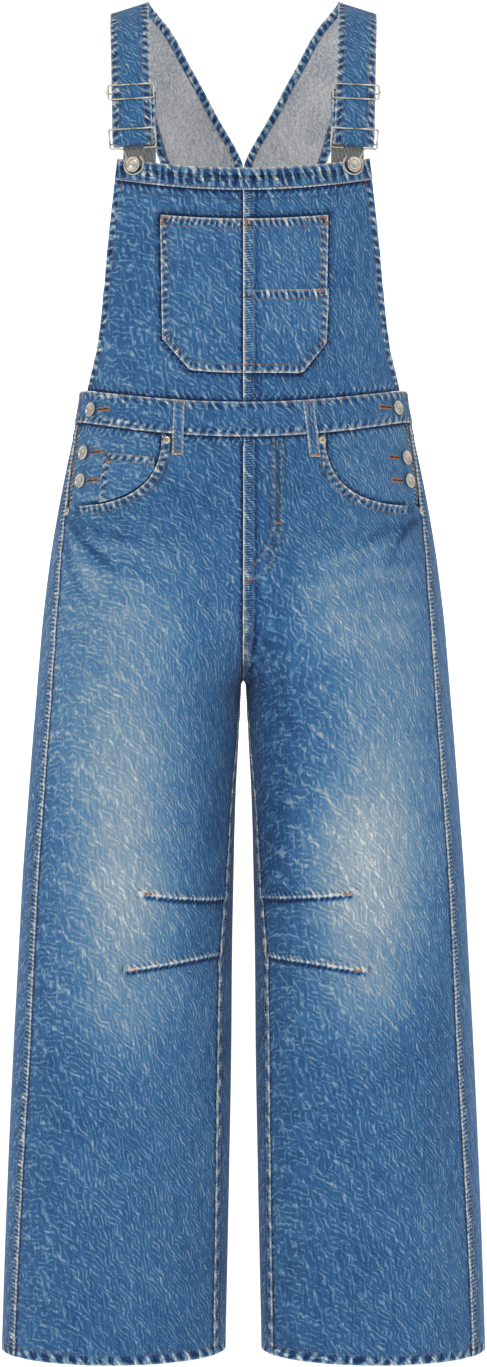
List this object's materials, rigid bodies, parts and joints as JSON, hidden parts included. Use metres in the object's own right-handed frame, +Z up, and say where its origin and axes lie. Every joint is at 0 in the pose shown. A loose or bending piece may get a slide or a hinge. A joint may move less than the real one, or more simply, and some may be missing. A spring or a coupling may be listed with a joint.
{
  "type": "denim dungarees",
  "caption": "Wide-leg blue denim dungarees with a pocketed bib, buttoned sides, buckled shoulder straps and knee darts, filled out as when worn.",
  "frame": {"origin": "midway between the two straps where they cross the shoulders, which is where a wearer holds it up", "axes": "+Z up, -Y is the front of the garment, +X is the wearer's left"},
  "size_m": [0.5058, 0.2398, 1.4122],
  "materials": {
    "denim": "washed mid-blue twill",
    "wrong_side": "pale grey-blue twill back",
    "metal": "warm nickel, satin"
  },
  "bodies": {
    "root": {"front_leg_left": "denim", "front_leg_right": "denim", "back_leg_left": "denim", "back_leg_right": "denim", "hip_facing_left": "denim", "hip_facing_right": "denim", "side_placket_left": "denim", "side_placket_right": "denim", "bib_left": "denim", "bib_right": "denim", "back_half_left": "denim", "back_half_right": "denim", "strap_tail_left": "wrong_side", "strap_tail_right": "wrong_side", "bib_pocket_left": "denim", "bib_pocket_right": "denim", "bib_pocket_lower": "denim", "coin_pocket": "denim", "waistband_front": "denim", "waistband_back": "denim", "bib_top_band": "denim", "belt_loop_front_right": "denim", "belt_loop_front_left": "denim", "belt_loop_back_right": "denim", "belt_loop_back_middle": "denim", "belt_loop_back_left": "denim", "button_waist_left": "metal", "button_waist_right": "metal", "button_side_upper_left": "metal", "button_side_upper_right": "metal", "button_side_lower_left": "metal", "button_side_lower_right": "metal", "rivet_upper_left": "metal", "rivet_upper_right": "metal", "rivet_lower_left": "metal", "rivet_lower_right": "metal", "bib_button_left": "metal", "bib_button_right": "metal", "slide_left": "metal", "slide_right": "metal", "hook_left": "metal", "hook_right": "metal"}
  },
  "joints": []
}
